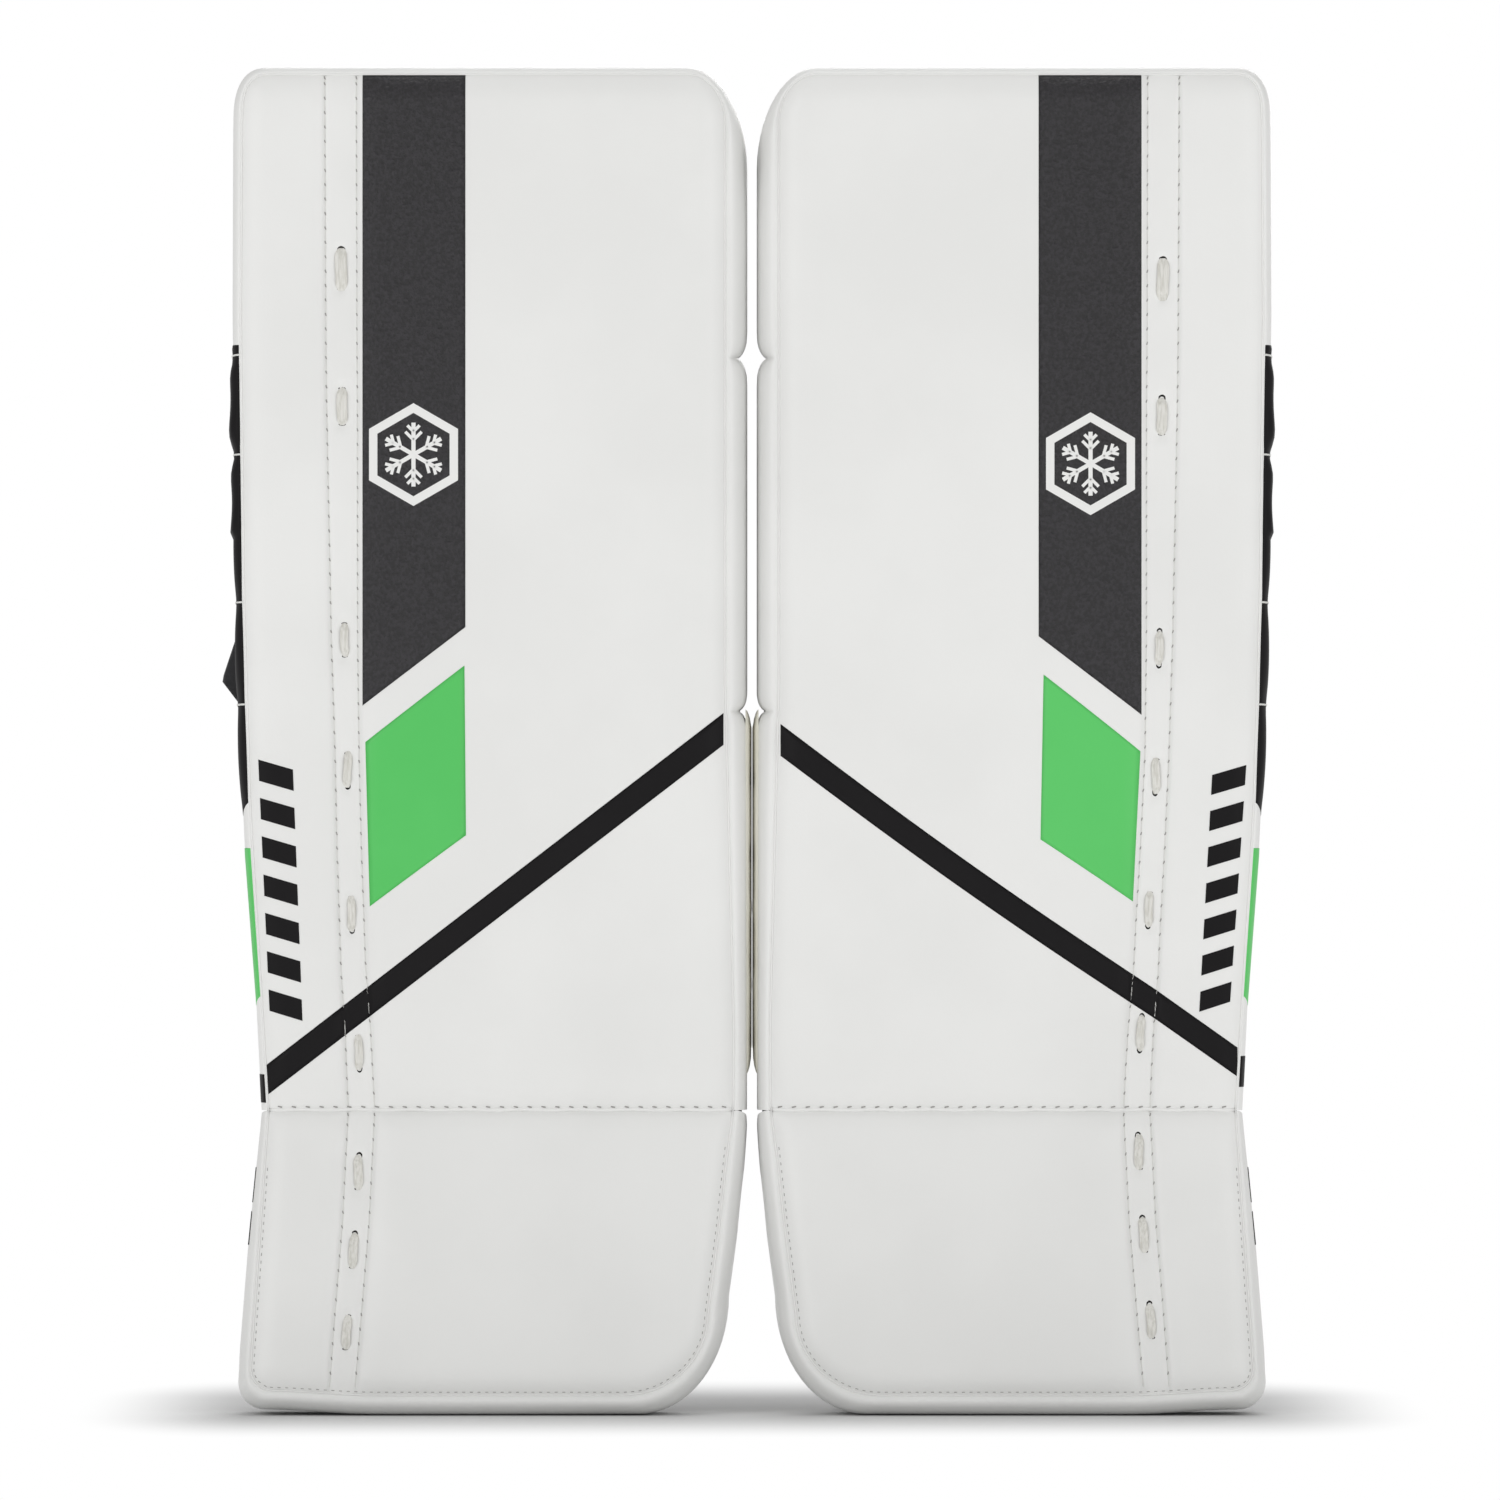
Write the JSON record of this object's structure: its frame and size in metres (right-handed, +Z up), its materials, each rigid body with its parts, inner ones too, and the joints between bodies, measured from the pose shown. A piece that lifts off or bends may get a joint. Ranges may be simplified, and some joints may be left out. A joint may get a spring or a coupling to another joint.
{
  "type": "goalie leg pads",
  "caption": "Pair of white ice hockey goalie leg pads with black and green panels, laced faces, leaning boots, calf and knee wings, straps and toe ties.",
  "frame": {"origin": "centre of the bounding box at floor level, between the two pads", "axes": "+X to the viewer's right when facing the pads, +Y from the faces toward the leg side, +Z up"},
  "size_m": [0.578, 0.2132, 0.737],
  "materials": {
    "white_cover": "satin",
    "black_cover": "satin",
    "green_cover": "satin",
    "slide_padding": "satin",
    "white_padding": "satin",
    "liner_padding": "matte",
    "foam": "matte",
    "stiff_sheet": "matte",
    "lace": "satin",
    "webbing": "matte",
    "moulded_plastic": "satin"
  },
  "bodies": {
    "left_thigh_body": {"left_thigh_core": "foam", "left_thigh_face": "white_cover", "left_thigh_casing": "white_cover", "left_thigh_stripe": "black_cover", "left_thigh_lace": "lace"},
    "left_shin_body": {"left_shin_core": "foam", "left_shin_board": "stiff_sheet", "left_shin_face": "white_cover", "left_shin_casing": "white_cover", "left_shin_stripes": "black_cover", "left_green_inlay": "green_cover", "left_shin_lace": "lace", "left_knee_cradle": "liner_padding", "left_shin_cradle": "liner_padding", "left_knee_block": "slide_padding"},
    "left_boot_body": {"left_boot_core": "foam", "left_boot_face": "white_cover", "left_boot_casing": "white_cover", "left_boot_lace": "lace", "left_boot_walls": "white_padding", "left_toe_bridge": "moulded_plastic"},
    "left_toe_strap_body": {"left_toe_strap": "webbing"},
    "left_knee_wing_body": {"left_knee_wing": "white_padding"},
    "left_knee_strap_body": {"left_knee_strap": "webbing"},
    "left_inner_calf_wing_body": {"left_inner_calf_wing": "slide_padding"},
    "left_outer_calf_wing_body": {"left_outer_calf_wing": "white_padding"},
    "left_calf_strap_body": {"left_calf_strap": "webbing"},
    "left_boot_strap_body": {"left_boot_strap": "webbing"},
    "left_strap_slider_body": {"left_strap_slider": "moulded_plastic"},
    "left_strap_tab_body": {"left_strap_tab": "webbing"},
    "right_thigh_body": {"right_thigh_core": "foam", "right_thigh_face": "white_cover", "right_thigh_casing": "white_cover", "right_thigh_stripe": "black_cover", "right_thigh_lace": "lace"},
    "right_shin_body": {"right_shin_core": "foam", "right_shin_board": "stiff_sheet", "right_shin_face": "white_cover", "right_shin_casing": "white_cover", "right_shin_stripes": "black_cover", "right_green_inlay": "green_cover", "right_shin_lace": "lace", "right_knee_cradle": "liner_padding", "right_shin_cradle": "liner_padding", "right_knee_block": "slide_padding"},
    "right_boot_body": {"right_boot_core": "foam", "right_boot_face": "white_cover", "right_boot_casing": "white_cover", "right_boot_lace": "lace", "right_boot_walls": "white_padding", "right_toe_bridge": "moulded_plastic"},
    "right_toe_strap_body": {"right_toe_strap": "webbing"},
    "right_knee_wing_body": {"right_knee_wing": "white_padding"},
    "right_knee_strap_body": {"right_knee_strap": "webbing"},
    "right_inner_calf_wing_body": {"right_inner_calf_wing": "slide_padding"},
    "right_outer_calf_wing_body": {"right_outer_calf_wing": "white_padding"},
    "right_calf_strap_body": {"right_calf_strap": "webbing"},
    "right_boot_strap_body": {"right_boot_strap": "webbing"},
    "right_strap_slider_body": {"right_strap_slider": "moulded_plastic"},
    "right_strap_tab_body": {"right_strap_tab": "webbing"}
  },
  "joints": [
    {"name": "left_thigh_flex", "type": "hinge", "parent": "left_shin_body", "child": "left_thigh_body", "pos_m": [-0.15, -0.06133, 0.578], "axis": [1, 0, 0], "range_deg": [-8, 12], "stiffness_Nm_per_rad": 60},
    {"name": "right_thigh_flex", "type": "hinge", "parent": "right_shin_body", "child": "right_thigh_body", "pos_m": [0.15, -0.06133, 0.578], "axis": [1, 0, 0], "range_deg": [-8, 12], "stiffness_Nm_per_rad": 60},
    {"name": "left_boot_flex", "type": "hinge", "parent": "left_shin_body", "child": "left_boot_body", "pos_m": [-0.15, -0.06133, 0.165], "axis": [-1, 0, 0], "range_deg": [-8, 12], "stiffness_Nm_per_rad": 150},
    {"name": "right_boot_flex", "type": "hinge", "parent": "right_shin_body", "child": "right_boot_body", "pos_m": [0.15, -0.06133, 0.165], "axis": [-1, 0, 0], "range_deg": [-8, 12], "stiffness_Nm_per_rad": 150},
    {"name": "left_inner_calf_wing_hinge", "type": "hinge", "parent": "left_shin_body", "child": "left_inner_calf_wing_body", "pos_m": [-0.0189, -0.00033, 0.286], "axis": [0, 0, 1], "range_deg": [0, 25], "stiffness_Nm_per_rad": 1.5},
    {"name": "right_inner_calf_wing_hinge", "type": "hinge", "parent": "right_shin_body", "child": "right_inner_calf_wing_body", "pos_m": [0.0189, -0.00033, 0.286], "axis": [0, 0, -1], "range_deg": [0, 25], "stiffness_Nm_per_rad": 1.5},
    {"name": "left_outer_calf_wing_hinge", "type": "hinge", "parent": "left_shin_body", "child": "left_outer_calf_wing_body", "pos_m": [-0.2185, -0.00033, 0.286], "axis": [0, 0, 1], "range_deg": [0, 75], "stiffness_Nm_per_rad": 0.8},
    {"name": "right_outer_calf_wing_hinge", "type": "hinge", "parent": "right_shin_body", "child": "right_outer_calf_wing_body", "pos_m": [0.2185, -0.00033, 0.286], "axis": [0, 0, -1], "range_deg": [0, 75], "stiffness_Nm_per_rad": 0.8},
    {"name": "left_knee_wing_hinge", "type": "hinge", "parent": "left_shin_body", "child": "left_knee_wing_body", "pos_m": [-0.2165, -0.00033, 0.486], "axis": [0, 0, 1], "range_deg": [0, 75], "stiffness_Nm_per_rad": 0.8},
    {"name": "right_knee_wing_hinge", "type": "hinge", "parent": "right_shin_body", "child": "right_knee_wing_body", "pos_m": [0.2165, -0.00033, 0.486], "axis": [0, 0, -1], "range_deg": [0, 75], "stiffness_Nm_per_rad": 0.8},
    {"name": "left_knee_strap_opening", "type": "hinge", "parent": "left_knee_wing_body", "child": "left_knee_strap_body", "pos_m": [-0.186, 0.08532, 0.48], "axis": [0, 0, 1], "range_deg": [0, 90]},
    {"name": "right_knee_strap_opening", "type": "hinge", "parent": "right_knee_wing_body", "child": "right_knee_strap_body", "pos_m": [0.186, 0.08532, 0.48], "axis": [0, 0, -1], "range_deg": [0, 90]},
    {"name": "left_calf_strap_opening", "type": "hinge", "parent": "left_outer_calf_wing_body", "child": "left_calf_strap_body", "pos_m": [-0.186, 0.10532, 0.3], "axis": [0, 0, 1], "range_deg": [0, 90]},
    {"name": "right_calf_strap_opening", "type": "hinge", "parent": "right_outer_calf_wing_body", "child": "right_calf_strap_body", "pos_m": [0.186, 0.10532, 0.3], "axis": [0, 0, -1], "range_deg": [0, 90]},
    {"name": "left_boot_strap_opening", "type": "hinge", "parent": "left_boot_body", "child": "left_boot_strap_body", "pos_m": [-0.214, 0.04432, 0.089], "axis": [0, 0, 1], "range_deg": [0, 90]},
    {"name": "right_boot_strap_opening", "type": "hinge", "parent": "right_boot_body", "child": "right_boot_strap_body", "pos_m": [0.214, 0.04432, 0.089], "axis": [0, 0, -1], "range_deg": [0, 90]},
    {"name": "left_strap_slider_travel", "type": "slide", "parent": "left_boot_strap_body", "child": "left_strap_slider_body", "axis": [-1, 0, 0], "range_m": [-0.015, 0.015]},
    {"name": "right_strap_slider_travel", "type": "slide", "parent": "right_boot_strap_body", "child": "right_strap_slider_body", "axis": [1, 0, 0], "range_m": [-0.015, 0.015]},
    {"name": "left_toe_strap_swing", "type": "hinge", "parent": "left_boot_body", "child": "left_toe_strap_body", "pos_m": [-0.14, -0.03099, 0.00962], "axis": [1, 0, 0], "range_deg": [0, 75]},
    {"name": "right_toe_strap_swing", "type": "hinge", "parent": "right_boot_body", "child": "right_toe_strap_body", "pos_m": [0.14, -0.03099, 0.00962], "axis": [1, 0, 0], "range_deg": [0, 75]},
    {"name": "left_strap_tab_turn", "type": "hinge", "parent": "left_shin_body", "child": "left_strap_tab_body", "pos_m": [-0.25, 0.00087, 0.372], "axis": [0, -1, 0], "range_deg": [0, 142]},
    {"name": "right_strap_tab_turn", "type": "hinge", "parent": "right_shin_body", "child": "right_strap_tab_body", "pos_m": [0.25, 0.00087, 0.372], "axis": [0, -1, 0], "range_deg": [0, 142]},
    {"name": "pair_gap", "type": "slide", "parent": "right_shin_body", "child": "left_shin_body", "axis": [-1, 0, 0], "range_m": [0, 0.35]}
  ]
}
